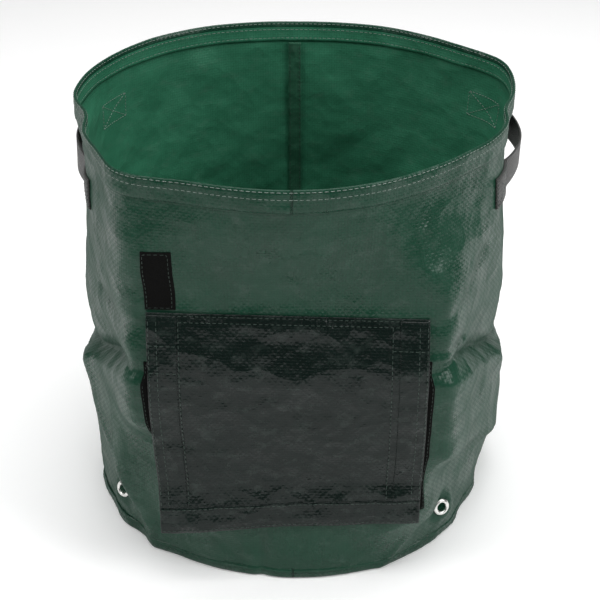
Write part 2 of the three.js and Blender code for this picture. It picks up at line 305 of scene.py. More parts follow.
def wall_radius(angle, z):
    """Distance from the axis to the wall's outer face. The front is held flatter than the rest."""
    near_front = np.exp(-((angle_between(angle, -1) / 40) ** 8))
    folded = folds(angle, z) * (1 - 0.85 * near_front * smoothstep(z, 55, 70))
    crumpled = crumple(angle, z) * (1 - near_front * (0.75 - 0.4 * smoothstep(z, 245, 262)))
    return (
        plan_radius(angle, z)
        + folded * calm(angle, z)
        + crumpled * calm(angle, z)
        + front_bulge(z) * near_front
        + eyelet_dents(angle, z)
    )


def as_arrays(*values):
    """The values as float arrays of one shape."""
    return np.broadcast_arrays(*[np.asarray(value, float) for value in values])


def wall(s, z, out):
    """Points at s mm round from the front, at height z, out mm off the wall's outer face."""
    s, z, out = as_arrays(s, z, out)
    angle = np.degrees(s / WALL_RADIUS)
    radius = wall_radius(angle, z) + out
    turn = s / WALL_RADIUS
    return np.stack([AXIS_X + radius * np.sin(turn), AXIS_Y - radius * np.cos(turn), z], -1)


# ---------------------------------------------------------------- shape of the flap
def flap(x, v, out):
    """Points on the flap: x mm right of its centre, v its height before it hung askew, out mm off
    the panel's inner face."""
    x, v, out = as_arrays(x, v, out)
    up = (v - FLAP_BOTTOM) / (FLAP_TOP - FLAP_BOTTOM)
    slope = FLAP_SLOPE[0] + (FLAP_SLOPE[1] - FLAP_SLOPE[0]) * up
    low = 1 - smoothstep(v, FLAP_BOTTOM, 140)
    left = 1 - smoothstep(x, -FLAP_HALF, 20)
    right = smoothstep(x, -20, FLAP_HALF)
    swing = 6.0 * low * left - 1.5 * low * right
    dents = 2.6 * (facets(x + 0.3 * v + 800, v, 40, 11) - 0.42)
    small_dents = 1.1 * (facets(x + 800, v, 15, 12) - 0.42)
    slack = 0.4 * np.sin(x / 31 + v / 29) * np.sin(v / 13 + 1) + (dents + small_dents)
    held = smoothstep(FLAP_HINGE - v, -2, 14)
    stand = front_bulge(v) + (swing + slack) * held - 2.4 * smoothstep(v, 231, 239) + out
    narrow = 2.0 * low
    side = FLAP_CENTRE + x * (1 - narrow / FLAP_HALF) + AXIS_X - 2.0 * left * smoothstep(v, 90, 170)
    return np.stack([side, AXIS_Y - FLAP_NEAR - stand, v - slope * x], -1)


# ---------------------------------------------------------------- mesh building
def make_object(name, vertices, faces, flat):
    """An object from points in millimetres. flat is each point's place in the piece's own layout."""
    mesh = bpy.data.meshes.new(name)
    corners = [tuple(int(i) for i in face) for face in faces]
    mesh.from_pydata((np.asarray(vertices) * MM).tolist(), [], corners)
    layer = mesh.uv_layers.new(name="UVMap")
    corner = np.zeros(len(mesh.loops), np.int32)
    mesh.loops.foreach_get("vertex_index", corner)
    layer.data.foreach_set("uv", (np.asarray(flat)[corner] * MM).astype(np.float32).ravel())
    mesh.polygons.foreach_set("use_smooth", [True] * len(mesh.polygons))
    mesh.validate()
    obj = bpy.data.objects.new(name, mesh)
    bpy.context.collection.objects.link(obj)
    return obj


def lines(low, high, step, extra=()):
    """Evenly spaced values from low to high, with extra ones among them."""
    count = max(2, int(math.ceil((high - low) / step)) + 1)
    inside = [e for e in extra if low < e < high]
    values = np.concatenate([np.linspace(low, high, count), inside])
    return np.unique(np.round(values, 4))


def with_soft_edge(values, soft):
    """The values, with one more a little way in from each end."""
    inset = [values[0] + soft, values[-1] - soft]
    return np.unique(np.round(np.concatenate([values, inset]), 4))


def slab(name, surface, a, b, inner, outer, soft=0.5):
    """A closed sheet over the grid a by b, between two distances off the surface, with soft edges."""
    a = with_soft_edge(a, soft)
    b = with_soft_edge(b, soft)
    A, B = np.meshgrid(a, b, indexing="ij")
    edge = np.minimum.reduce([A - a[0], a[-1] - A, B - b[0], b[-1] - B])
    round_off = np.sqrt(np.clip(edge / soft, 0, 1))
    top = surface(A, B, inner + (outer - inner) * (0.45 + 0.55 * round_off)).reshape(-1, 3)
    bottom = surface(A, B, np.full(A.shape, inner)).reshape(-1, 3)
    n, m = A.shape
    index = np.arange(n * m).reshape(n, m)
    quads = np.stack([index[:-1, :-1], index[1:, :-1], index[1:, 1:], index[:-1, 1:]], -1).reshape(-1, 4)
    faces = quads.tolist() + (quads[:, ::-1] + n * m).tolist()
    border = np.concatenate([index[:, 0], index[-1, 1:], index[-2::-1, -1], index[0, -2:0:-1]])
    for i, j in zip(border, np.roll(border, -1)):
        faces.append((i, i + n * m, j + n * m, j))
    flat = np.stack([A, B], -1).reshape(-1, 2)
    obj = make_object(name, np.concatenate([top, bottom]), faces, np.concatenate([flat, flat]))
    return fix_normals(obj)


def fix_normals(obj):
    """Turns every face of a closed mesh outwards."""
    bm = bmesh.new()
    bm.from_mesh(obj.data)
    bmesh.ops.recalc_face_normals(bm, faces=bm.faces)
    bm.to_mesh(obj.data)
    bm.free()
    return obj


def dashes(row, length, gap):
    """Where each dash along a line of points starts and ends."""
    row = np.asarray(row, float)
    lengths = np.hypot(*np.diff(row, axis=0).T)
    at = np.concatenate([[0], np.cumsum(lengths)])
    where = np.arange(0, at[-1] - (length + gap) * 0.4, length + gap)
    starts, ends = ([np.interp(place, at, row[:, k]) for k in range(2)] for place in (where, where + length))
    return starts, ends


DASH_SIDES = 5
SHORTEST_DASH = 0.5


def dash(a, b, up, width, height):
    """One dash of thread from a to b: pointed ends, and two rings of points between them."""
    ahead = (b - a) / np.linalg.norm(b - a)
    up = up / np.linalg.norm(up)
    across = np.cross(ahead, up)
    vertices = [a - up * height * 0.5]
    for t in (0.18, 0.82):
        centre = a + (b - a) * t
        for turn in np.linspace(0, 2 * math.pi, DASH_SIDES + 1)[:-1]:
            vertices.append(centre + across * math.cos(turn) * width + up * math.sin(turn) * height)
    vertices.append(b - up * height * 0.5)
    return vertices


def dash_faces(base):
    first, second, tip = base + 1, base + 1 + DASH_SIDES, base + 1 + 2 * DASH_SIDES
    faces = []
    for i in range(DASH_SIDES):
        j = (i + 1) % DASH_SIDES
        faces.append((base, first + j, first + i))
        faces.append((first + i, first + j, second + j, second + i))
        faces.append((tip, second + i, second + j))
    return faces


def stitches(name, surface, rows, out, length=3.6, gap=1.3, width=0.45, height=0.35, thread=None):
    """Rows of thread dashes lying on a surface. Each row is a line of points on it."""
    vertices, faces = [], []
    for row in rows:
        starts, ends = dashes(row, length, gap)
        p0 = surface(*starts, out)
        p1 = surface(*ends, out)
        lift = surface(*starts, out + 1.0) - p0
        for a, b, up in zip(p0, p1, lift):
            if np.linalg.norm(b - a) < SHORTEST_DASH:
                continue
            faces += dash_faces(len(vertices))
            vertices += dash(a, b, up, width, height)
    obj = make_object(name, vertices, faces, np.asarray(vertices)[:, [0, 2]])
    obj.data.materials.append(thread or THREAD)
    return obj


def ring_strip(name, section):
    """A closed band all round the wall, from a closed section of (out, height) points."""
    s = np.linspace(0, TURN, EDGE_STEPS, endpoint=False)
    section = np.asarray(section, float)
    S, K = np.meshgrid(s, np.arange(len(section)), indexing="ij")
    points = wall(S, section[K, 1], section[K, 0]).reshape(-1, 3)
    n, m = S.shape
    index = np.arange(n * m).reshape(n, m)
    after, beside = np.roll(index, -1, 0), np.roll(index, -1, 1)
    both = np.roll(after, -1, 1)
    faces = np.stack([index, after, both, beside], -1).reshape(-1, 4)
    uv = np.stack([S, section[K, 1] + np.abs(section[K, 0])], -1).reshape(-1, 2)
    return fix_normals(make_object(name, points, faces, uv))


# ---------------------------------------------------------------- materials
def node(tree, kind, inputs=(), **settings):
    """A shader node, with its inputs linked to sockets or set to values."""
    made = tree.nodes.new("ShaderNode" + kind)
    for key, value in settings.items():
        setattr(made, key, value)
    for key, value in dict(inputs).items():
        if isinstance(value, bpy.types.NodeSocket):
            tree.links.new(value, made.inputs[key])
        else:
            made.inputs[key].default_value = value
    return made


def compute(tree, operation, a, b=0.0):
    return node(tree, "Math", {0: a, 1: b}, operation=operation).outputs[0]


def mix_colour(tree, share, a, b):
    made = node(tree, "Mix", {0: share, 6: a, 7: b}, data_type="RGBA")
    return made.outputs[2]


def noise(tree, where, scale, detail=3.0, roughness=0.5):
    inputs = {"Vector": where, "Scale": scale, "Detail": detail, "Roughness": roughness}
    return node(tree, "TexNoise", inputs).outputs["Fac"]


def flat_layout(tree, pitch=(1.0, 1.0)):
    """Each piece's own flat layout in metres, counted in a pitch across and up."""
    where = node(tree, "UVMap", uv_map="UVMap").outputs["UV"]
    scale = (1 / pitch[0], 1 / pitch[1], 1.0)
    return node(tree, "VectorMath", {0: where, 1: scale}, operation="MULTIPLY").outputs[0]


def humps(tree, value):
    return compute(tree, "ABSOLUTE", compute(tree, "SINE", compute(tree, "MULTIPLY", value, math.pi)))


def weave(tree, pitch):
    """Height of a plain weave of flat tapes: each crossing shows one tape, in turn."""
    where = flat_layout(tree, pitch)
    xyz = node(tree, "SeparateXYZ", {0: where})
    over = node(tree, "TexChecker", {"Vector": where, "Scale": 1.0}).outputs["Fac"]
    across, along_it = humps(tree, xyz.outputs["X"]), humps(tree, xyz.outputs["Y"])
    return node(tree, "Mix", {0: over, 2: across, 3: along_it}, data_type="FLOAT").outputs[0]


def bump(tree, height, distance, strength=1.0, below=None):
    inputs = {"Height": height, "Distance": distance, "Strength": strength}
    if below is not None:
        inputs["Normal"] = below
    return node(tree, "Bump", inputs).outputs["Normal"]


def new_material(name, **sockets):
    material = bpy.data.materials.new(name)
    material.use_nodes = True
    shader = material.node_tree.nodes["Principled BSDF"]
    for key, value in sockets.items():
        shader.inputs[key.replace("_", " ")].default_value = value
    return material, material.node_tree, shader


def map_range(tree, value, low, high, to_low, to_high):
    return node(tree, "MapRange", {0: value, 1: low, 2: high, 3: to_low, 4: to_high}).outputs[0]


def woven_sheet(name, dark, light, rough=(0.2, 0.36), crinkle=1.0, whitening_and_sheen=0.16, level=0.3):
    """Laminated sheet woven from flat tapes: satin, finely crinkled, with painted shade in the weave's
    grooves, and pale patches that are partly whitening where crushed and partly painted reflection.
    """
    material, tree, shader = new_material(name, IOR=1.45, Specular_IOR_Level=level)
    flat = flat_layout(tree)
    patches = noise(tree, flat, 26.0, 4.0, 0.6)
    height = weave(tree, (0.0023, 0.0023))
    streaks = noise(tree, flat_layout(tree, (0.0023, 0.09)), 1.0, 2.0)
    patchy = compute(tree, "MULTIPLY", patches, 0.7)
    streaky = compute(tree, "MULTIPLY", streaks, 0.35)
    tone = compute(tree, "ADD", patchy, streaky)
    colour = mix_colour(tree, tone, dark, light)
    # painted shade: the colour is darkened in the weave's grooves, where the tapes dip
    groove_shade = map_range(tree, height, 0.0, 0.45, 0.72, 1.0)
    shaded = node(tree, "Mix", {0: 1.0, 6: colour, 7: groove_shade}, data_type="RGBA", blend_type="MULTIPLY")
    # pale patches: partly whitening of the crushed film, partly painted reflection, mixed towards a pale
    # tone
    crushed = noise(tree, flat_layout(tree, (1.3, 0.8)), 75.0, 6.0, 0.72)
    pale_share = map_range(tree, crushed, 0.52, 0.78, 0.0, whitening_and_sheen)
    with_pale_patches = mix_colour(tree, pale_share, shaded.outputs[2], (0.17, 0.22, 0.195, 1))
    tree.links.new(with_pale_patches, shader.inputs["Base Color"])
    spread = map_range(tree, patches, 0.3, 0.7, *rough)
    edge_on = node(tree, "LayerWeight", {"Blend": 0.5}).outputs["Facing"]
    duller = map_range(tree, edge_on, 0.55, 0.9, 0.0, 0.3)
    tree.links.new(compute(tree, "ADD", spread, duller), shader.inputs["Roughness"])
    warp = node(tree, "TexNoise", {"Vector": flat, "Scale": 30.0}).outputs["Color"]
    wander = node(tree, "VectorMath", {0: warp, 1: (0.012, 0.012, 0.0)}, operation="MULTIPLY").outputs[0]
    where = node(tree, "VectorMath", {0: flat, 1: wander}, operation="ADD").outputs[0]
    crushes = node(tree, "TexVoronoi", {"Vector": where, "Scale": 34.0}).outputs["Distance"]
    creases = node(tree, "TexVoronoi", {"Vector": where, "Scale": 105.0}).outputs["Distance"]
    large = bump(tree, crushes, 0.0042 * crinkle, 0.6)
    middle = bump(tree, creases, 0.0010 * crinkle, 0.6, large)
    small = bump(tree, noise(tree, flat, 190.0, 3.0, 0.6), 0.0006 * crinkle, 0.6, middle)
    tree.links.new(bump(tree, height, 0.00018, 0.55, small), shader.inputs["Normal"])
    return material


def webbing_material():
    """Narrow woven webbing: fine ribs across it."""
    material, tree, shader = new_material("Webbing", Roughness=0.5, IOR=1.5, Sheen_Weight=0.15)
    ribs = weave(tree, (0.0011, 0.0016))
    fuzz = noise(tree, flat_layout(tree), 900.0, 2.0)
    # painted shade: the colour is darker between the ribs and lighter on their tops
    colour = mix_colour(tree, ribs, (0.004, 0.005, 0.004, 1), (0.021, 0.023, 0.020, 1))
    tree.links.new(colour, shader.inputs["Base Color"])
    rough = map_range(tree, fuzz, 0.3, 0.7, 0.42, 0.62)
    tree.links.new(rough, shader.inputs["Roughness"])
    soft = bump(tree, fuzz, 0.0003, 0.5)
    tree.links.new(bump(tree, ribs, 0.0005, 0.8, soft), shader.inputs["Normal"])
    return material


def pile_material():
    """Hook-and-loop tape: matt black pile."""
    material, tree, shader = new_material("HookAndLoop", Roughness=0.95, IOR=1.4, Specular_IOR_Level=0.1)
    flat = flat_layout(tree)
    pile = noise(tree, flat, 1500.0, 2.0, 0.7)
    colour = mix_colour(tree, pile, (0.0012, 0.0012, 0.0012, 1), (0.0085, 0.0085, 0.008, 1))
    tree.links.new(colour, shader.inputs["Base Color"])
    rough = map_range(tree, pile, 0.3, 0.7, 0.85, 1.0)
    tree.links.new(rough, shader.inputs["Roughness"])
    tree.links.new(bump(tree, pile, 0.0006, 0.9), shader.inputs["Normal"])
    return material


def metal_material():
    """Plated eyelet metal, faintly scratched and dulled."""
    material, tree, shader = new_material("EyeletMetal", Metallic=1.0)
    where = node(tree, "TexCoord").outputs["Object"]
    marks = noise(tree, where, 700.0, 4.0, 0.65)
    colour = mix_colour(tree, marks, (0.62, 0.62, 0.60, 1), (0.82, 0.82, 0.79, 1))
    tree.links.new(colour, shader.inputs["Base Color"])
    rough = map_range(tree, marks, 0.3, 0.7, 0.18, 0.36)
    tree.links.new(rough, shader.inputs["Roughness"])
    tree.links.new(bump(tree, marks, 0.00008, 0.4), shader.inputs["Normal"])
    return material


def thread_material(name, dark, light):
    material, tree, shader = new_material(name, IOR=1.5)
    where = node(tree, "TexCoord").outputs["Object"]
    twist = noise(tree, where, 2400.0, 2.0)
    colour = mix_colour(tree, twist, dark, light)
    tree.links.new(colour, shader.inputs["Base Color"])
    rough = map_range(tree, twist, 0.3, 0.7, 0.4, 0.6)
    tree.links.new(rough, shader.inputs["Roughness"])
    tree.links.new(bump(tree, twist, 0.0001, 0.5), shader.inputs["Normal"])
    return material


SHEET = woven_sheet("WovenSheet", (0.0035, 0.026, 0.0135, 1), (0.0105, 0.064, 0.036, 1))
# Copy of the sheet for the inside faces, brightened to paint the light that comes through the wall
LIT_INNER_SHEET = woven_sheet(
    "WovenSheetInsideLit", (0.022, 0.125, 0.068, 1), (0.040, 0.200, 0.115, 1), rough=(0.34, 0.5), crinkle=0.7
)
# Copy of the sheet for the back seam's inward fold, brightened with painted light through the wall, less
# than the inside faces
LIT_SEAM_SHEET = woven_sheet(
    "WovenSheetSeamLit", (0.014, 0.060, 0.033, 1), (0.030, 0.120, 0.070, 1), rough=(0.3, 0.45), crinkle=1.2
)
FLAP_SHEET = woven_sheet(
    "WovenSheetFlap", (0.0008, 0.0034, 0.0026, 1), (0.0026, 0.0105, 0.0078, 1),
    rough=(0.17, 0.3), crinkle=1.6, whitening_and_sheen=0.14,
)
WEBBING = webbing_material()
PILE = pile_material()
METAL = metal_material()
THREAD = thread_material("Thread", (0.010, 0.024, 0.017, 1), (0.035, 0.062, 0.048, 1))
PALE_THREAD = thread_material("ThreadPale", (0.10, 0.14, 0.12, 1), (0.30, 0.36, 0.32, 1))


def set_piece(obj, material, nodes=(), body="bag"):
    """Gives a piece its finish, and hangs it on a body in place of its CAD nodes."""
    if material is not None:
        obj.data.materials.append(material)
    if nodes:
        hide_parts(*nodes)
    if body:
        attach(obj, body)
    return obj


# ---------------------------------------------------------------- side wall, rim, base
def across_front(x):
    """Millimetres round the wall to the point x mm right of its axis, on the flat front."""
    return WALL_RADIUS * math.atan2(x, FRONT_FACE)


def side_wall():
    """One strip of sheet closed at the back, with the window and the eyelet holes cut in it."""
    left, right, low, high = WINDOW
    left, right = across_front(left), across_front(right)
    s = lines(-TURN / 2, TURN / 2, TURN / 460, [left, right])[:-1]
    z = lines(WALL_FOOT, WALL_HEIGHT, 2.6, [low, high])
    S, Z = np.meshgrid(s, z, indexing="ij")
    n, m = S.shape
    index = np.arange(n * m).reshape(n, m)
    after = np.roll(index, -1, 0)
    cells = np.stack([index[:, :-1], after[:, :-1], after[:, 1:], index[:, 1:]], -1)
    mid_s = (s + np.append(s[1:], s[0] + TURN)) / 2
    mid_z = (z[:-1] + z[1:]) / 2
    MS, MZ = np.meshgrid(mid_s, mid_z, indexing="ij")
    keep = ~((MS > left) & (MS < right) & (MZ > low) & (MZ < high))
    for angle in EYELET_ANGLES.values():
        keep &= np.hypot(MS - arc(angle), MZ - EYELET_Z) > EYELET_CUT
    faces = cells[keep].tolist()
    flat = np.stack([S, Z], -1).reshape(-1, 2)
    obj = make_object("side_wall_cloth", wall(S, Z, 0).reshape(-1, 3), faces, flat)
    thick = obj.modifiers.new("Thickness", "SOLIDIFY")
    thick.thickness = FABRIC * MM
    thick.offset = -1
    thick.material_offset = 1
    set_piece(obj, SHEET, ["side_wall"])
    # the inner face takes the copy brightened with painted light through the wall
    obj.data.materials.append(LIT_INNER_SHEET)
    return obj


def disc(name, height, thickness, rings=46, steps=300):
    """A round sheet as wide as the bag's foot. Its lower face lies on the floor where height is 0."""
    share = np.sqrt(np.linspace(0.0006, 1, rings))
    s = np.linspace(0, TURN, steps, endpoint=False)
    SH, S = np.meshgrid(share, s, indexing="ij")
    edge = wall(S, 1.0, -0.3)
    x = AXIS_X + (edge[..., 0] - AXIS_X) * SH
    y = AXIS_Y + (edge[..., 1] - AXIS_Y) * SH
    lift = height(x, y) * (1 - smoothstep(SH, 0.9, 0.99))
    top = np.stack([x, y, lift + thickness], -1).reshape(-1, 3)
    bottom = np.stack([x, y, lift], -1).reshape(-1, 3)
    n, m = SH.shape
    index = np.arange(n * m).reshape(n, m)
    beside = np.roll(index, -1, 1)
    quads = np.stack([index[:-1], index[1:], beside[1:], beside[:-1]], -1).reshape(-1, 4)
    faces = quads.tolist() + (quads[:, ::-1] + n * m).tolist()
    faces += [(i, i + n * m, j + n * m, j) for i, j in zip(index[-1], beside[-1])]
    faces += [tuple(index[0][::-1]), tuple(index[0] + n * m)]
    flat = np.stack([x, y], -1).reshape(-1, 2)
    return fix_normals(make_object(name, np.concatenate([top, bottom]), faces, np.concatenate([flat, flat])))


def base_pucker(x, y):
    """How far the base lifts off the floor."""
    ridges = np.abs(np.sin(x / 41 + y / 67 + 0.6)) * np.abs(np.sin(y / 53 - x / 88))
    return 2.6 * ridges**2


# Sections of the folded edges: distance out of the wall's outer face, and height
RIM_SECTION = [
    (0.4, 333.1), (0.95, 332.9), (1.25, 335), (1.0, 338.5), (0.95, 342), (1.05, 346),
    (0.75, 349.8), (0.2, 350.8), (-0.6, 350.9), (-1.35, 349.9), (-1.65, 346),
    (-1.5, 342), (-1.55, 338), (-1.85, 335), (-1.6, 333), (-1.0, 333.1),
]
FOOT_SECTION = [(-0.3, 0.9), (0.8, 0.8), (1.25, 1.8), (1.1, 4.5), (0.75, 7.6), (0.1, 9.4), (-0.3, 9.4)]
RIM_TOP = 344.0  # the rim's inner face takes the outside sheet above this, without the inside copy's painted light
EDGE_STEPS = 520

side_wall_cloth = side_wall()
rim = set_piece(ring_strip("rim_fold", RIM_SECTION), SHEET, ["rim_hem"])
# the rim's inner face, below RIM_TOP, takes the copy brightened with painted light through the wall
rim.data.materials.append(LIT_INNER_SHEET)
for face in rim.data.polygons:
    away = Vector((face.center.x - AXIS_X * MM, face.center.y - AXIS_Y * MM, 0))
    inside = face.normal.dot(away.normalized()) < -0.5 and face.center.z < RIM_TOP * MM
    face.material_index = 1 if inside else 0
base = set_piece(disc("base_cloth", base_pucker, FABRIC), SHEET, ["base_panel"])
set_piece(ring_strip("base_seam_fold", FOOT_SECTION), SHEET, ["base_seam"])


def wall_slab(name, left, right, low, high, inner, outer, material, nodes, step=2.2, soft=0.6):
    """A strip lying on the wall between two lines round it and two heights."""
    obj = slab(name, wall, lines(left, right, step), lines(low, high, step), inner, outer, soft)
    return set_piece(obj, material, nodes)


BACK = TURN / 2  # the back seam
SEAM_HALF = 6.0
# the seam's fold takes the copy brightened with painted light through the wall
wall_slab(
    "back_seam_fold", BACK - SEAM_HALF, BACK + SEAM_HALF, 4, 332, -3.2, -0.75, LIT_SEAM_SHEET,
    ["back_seam"], 2.0, 1.4,
)

WINDOW_HEM = 8.0


def bind_window():
    """Strips of sheet round the window, on the wall's inner face."""
    left, right, low, high = WINDOW
    strips = {
        "top": (left - WINDOW_HEM, right + WINDOW_HEM, high + 1, high + WINDOW_HEM),
        "bottom": (left - WINDOW_HEM, right + WINDOW_HEM, low - WINDOW_HEM, low - 1),
        "left": (left - WINDOW_HEM, left - 1, low - 0.5, high + 0.5),
        "right": (right + 1, right + WINDOW_HEM, low - 0.5, high + 0.5),
    }
    for side, (x0, x1, z0, z1) in strips.items():
        wall_slab(
            "window_binding_" + side, across_front(x0), across_front(x1), z0, z1, -1.55, -0.75,
            SHEET, ["window_hem_" + side],
        )


bind_window()

# ---------------------------------------------------------------- tapes on the wall
TAPE_WIDTH = 23.0
# Left edge, heights, and how far the tape is shifted round the wall
TAPES = {
    "loop_tape_left": (FLAP_CENTRE - FLAP_HALF - 6, 64, 202, 2.5),
    "loop_tape_right": (FLAP_CENTRE + FLAP_HALF - TAPE_WIDTH, 64, 202, 0),
    "keeper_tape": (-111, 244, 293, 0),
}


def outline(s0, s1, z0, z1, inset=0.0):
    """A closed row round a rectangle, a little way in from its edges."""
    s0, s1, z0, z1 = s0 + inset, s1 - inset, z0 + inset, z1 - inset
    return [(s0, z0), (s1, z0), (s1, z1), (s0, z1), (s0, z0)]


for name, (x, z0, z1, shift) in TAPES.items():
    s0, s1 = across_front(x) + shift, across_front(x + TAPE_WIDTH) + shift
    wall_slab(name + "_pile", s0, s1, z0, z1, 0.2, 1.6, PILE, [name])
    rows = [outline(s0, s1, z0, z1, 1.6)]
    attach(stitches(name + "_thread", wall, rows, 1.65, 2.6, 1.1, 0.22, 0.2), "bag")


def cross_hinge(obj):
    """Cloth where the flap is sewn on, left on no body, with its place baked into its mesh."""
    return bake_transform(obj)


def flap_slab(name, x0, x1, v0, v1, inner, outer, material, nodes, rides=None):
    """A strip of the flap. It rides on a body, or else is left on none with its place baked into its mesh.
    """
    obj = slab(name, flap, lines(x0, x1, 2.2), lines(v0, v1, 2.2), inner, outer, 0.6)
    set_piece(obj, material, nodes, rides)
    return obj if rides else cross_hinge(obj)


FLAP_HEM = 22.0
flap_cloth = flap_slab(
    "flap_cloth", -FLAP_HALF, FLAP_HALF, FLAP_BOTTOM, 239.5, 0, FABRIC, FLAP_SHEET,
    ["flap_panel", "flap_top_seam"],
)
for side, x0 in (("left", -FLAP_HALF), ("right", FLAP_HALF - FLAP_HEM)):
    flap_slab(
        "flap_fold_" + side, x0, x0 + FLAP_HEM, FLAP_BOTTOM + FLAP_HEM, 238, 0.6, 1.35, FLAP_SHEET,
        ["flap_hem_" + side],
    )
flap_slab(
    "flap_fold_bottom", -FLAP_HALF, FLAP_HALF, FLAP_BOTTOM, FLAP_BOTTOM + FLAP_HEM, 0.6, 1.4, FLAP_SHEET,
    ["flap_hem_bottom"], rides="flap",
)
for side, x0 in (("left", 2 - FLAP_HALF), ("right", FLAP_HALF - 2 - TAPE_WIDTH)):
    flap_slab(
        "hook_tape_" + side + "_pile", x0, x0 + TAPE_WIDTH, 80, 218, -1.5, -0.1, PILE,
        ["hook_tape_" + side], rides="flap",
    )



def upright(x):
    """A row up one side of the flap."""
    return [(x, 76), (x, 237)]


def level(v, x0, x1):
    """A row across the flap, or part of the way."""
    return [(x0, v), (x1, v)]


left_rows = [upright(-102.6), upright(-96.5), upright(-80.5)]
left_boxes = [level(216.5, -102.6, -80.5), level(196, -102.6, -80.5)]
right_rows = [upright(102.6), upright(96.5), upright(76.5), level(216.5, 76.5, 102.6)]
side_rows = left_rows + left_boxes + right_rows
cross_hinge(stitches("flap_side_thread", flap, side_rows, 1.45, 3.0, 1.2, 0.3, 0.25))
low_rows = [level(72.2, -103, 103), level(54.5, -103, 103)]
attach(stitches("flap_bottom_thread", flap, low_rows, 1.5, 3.0, 1.2, 0.3, 0.25), "flap")
top_rows = [level(237.6, -102, 102), level(233.8, -102, 102)]
cross_hinge(stitches("flap_top_thread", flap, top_rows, 0.8, 3.0, 1.2, 0.3, 0.25))

# ---------------------------------------------------------------- handles
NEAR_END = HANDLE_HALF_SPAN - HANDLE_END_HALF


def box_and_cross(s0, s1, z0, z1):
    """Stitching rows of a box with a cross in it."""
    return [outline(s0, s1, z0, z1), [(s0, z0), (s1, z1)], [(s1, z0), (s0, z1)]]


def loop_surface(side):
    """The strap's free loop: mm along it, mm up from its middle, mm out of its inner face."""
    start = wall(arc(side * HANDLE_ANGLE - NEAR_END), HANDLE_Z, 1.1)
    end = wall(arc(side * HANDLE_ANGLE + NEAR_END), HANDLE_Z, 1.1)
    chord = end - start
    out_of = np.array([chord[1], -chord[0], 0]) / np.linalg.norm(chord[:2])
    length = np.linalg.norm(chord)

    def surface(a, v, out):
        a, v, out = as_arrays(a, v, out)
        t = np.clip(a / length, 0, 1)
        arch = np.sin(math.pi * t) ** 0.85
        twist = 0.05 * v * np.sin(2 * math.pi * t)
        stand = (HANDLE_BOW + 1.5) * arch + twist + out
        return start + chord * t[..., None] + out_of * stand[..., None] + np.stack([0 * v, 0 * v, v], -1)

    return surface, length, start, end


def sewn_end(side, word, place):
    """One end of a strap, sewn flat on the wall, and its thread on both faces of the wall."""
    sign = -side if place == "front" else side
    middle = side * HANDLE_ANGLE + sign * HANDLE_HALF_SPAN
    s0, s1 = arc(middle - HANDLE_END_HALF), arc(middle + HANDLE_END_HALF)
    z0, z1 = HANDLE_Z - HANDLE_WIDTH / 2, HANDLE_Z + HANDLE_WIDTH / 2
    wall_slab(
        f"strap_{word}_{place}_end", s0, s1, z0, z1, 0.2, 0.35 + STRAP, WEBBING,
        [f"handle_{word}_{place}_end"], 1.6, 0.7,
    )
    rows = box_and_cross(s0 + 1.8, s1 - 1.8, z0 + 2, z1 - 2)
    thread = f"strap_{word}_{place}_thread"
    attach(stitches(thread, wall, rows, 2.05, 2.4, 1.0, 0.25, 0.22), "bag")
    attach(stitches(thread + "_inside", wall, rows, -0.75, 2.4, 0.8, 0.26, 0.24, PALE_THREAD), "bag")


def free_loop(side, word):
    """The strap's loop in two halves, each bending from its sewn end to the loop's middle."""
    surface, length, start, end = loop_surface(side)
    middle = surface(length / 2, 0, 0)
    across = lines(-HANDLE_WIDTH / 2, HANDLE_WIDTH / 2, 1.6)
    halves = {"start": (-1.0, length / 2, start), "end": (length / 2, length + 1.0, end)}
    for half, (a0, a1, root) in halves.items():
        name = f"strap_{word}_loop_{half}"
        obj = slab(name, surface, lines(a0, a1, 1.6), across, -STRAP / 2, STRAP / 2, 0.7)
        set_piece(obj, WEBBING, [f"handle_{word}_loop"], None)
        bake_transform(obj)


for side, word in ((-1, "left"), (1, "right")):
    for place in ("front", "back"):
        sewn_end(side, word, place)
    free_loop(side, word)

# ---------------------------------------------------------------- stitching round the bag
RIM_ROWS = [[(0, 349.2), (TURN, 349.2)], [(0, 343.6), (TURN, 343.6)]]
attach(stitches("rim_thread", wall, RIM_ROWS, 1.05, 3.4, 0.9, 0.24, 0.22, PALE_THREAD), "bag")
INSIDE_ROWS = [[(0, 349.0), (TURN, 349.0)], [(0, 343.8), (TURN, 343.8)], [(0, 336), (TURN, 336)]]
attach(stitches("rim_thread_inside", wall, INSIDE_ROWS, -1.65, 3.4, 0.9, 0.22, 0.2, PALE_THREAD), "bag")
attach(stitches("foot_thread", wall, [[(0, 5.2), (TURN, 5.2)]], 1.15, 3.4, 1.3, 0.2, 0.15), "bag")
BACK_ROWS = [[(BACK - 4.4, 6), (BACK - 4.4, 331)], [(BACK + 4.4, 6), (BACK + 4.4, 331)]]
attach(stitches("back_seam_thread", wall, BACK_ROWS, -3.25, 3.4, 1.3, 0.25, 0.2), "bag")
BACK_OUTSIDE = [[(BACK - 3.0, 10), (BACK - 3.0, 332)]]
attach(stitches("back_seam_thread_outside", wall, BACK_OUTSIDE, 0.05, 3.4, 1.3, 0.25, 0.2), "bag")


def window_row(outset=4.5):
    """One row round the window, holding its binding."""
    left, right, low, high = WINDOW
    left, right = across_front(left - outset), across_front(right + outset)
    return outline(left, right, low - outset, high + outset)


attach(stitches("window_thread", wall, [window_row()], 0.05, 3.4, 1.3, 0.25, 0.2), "bag")


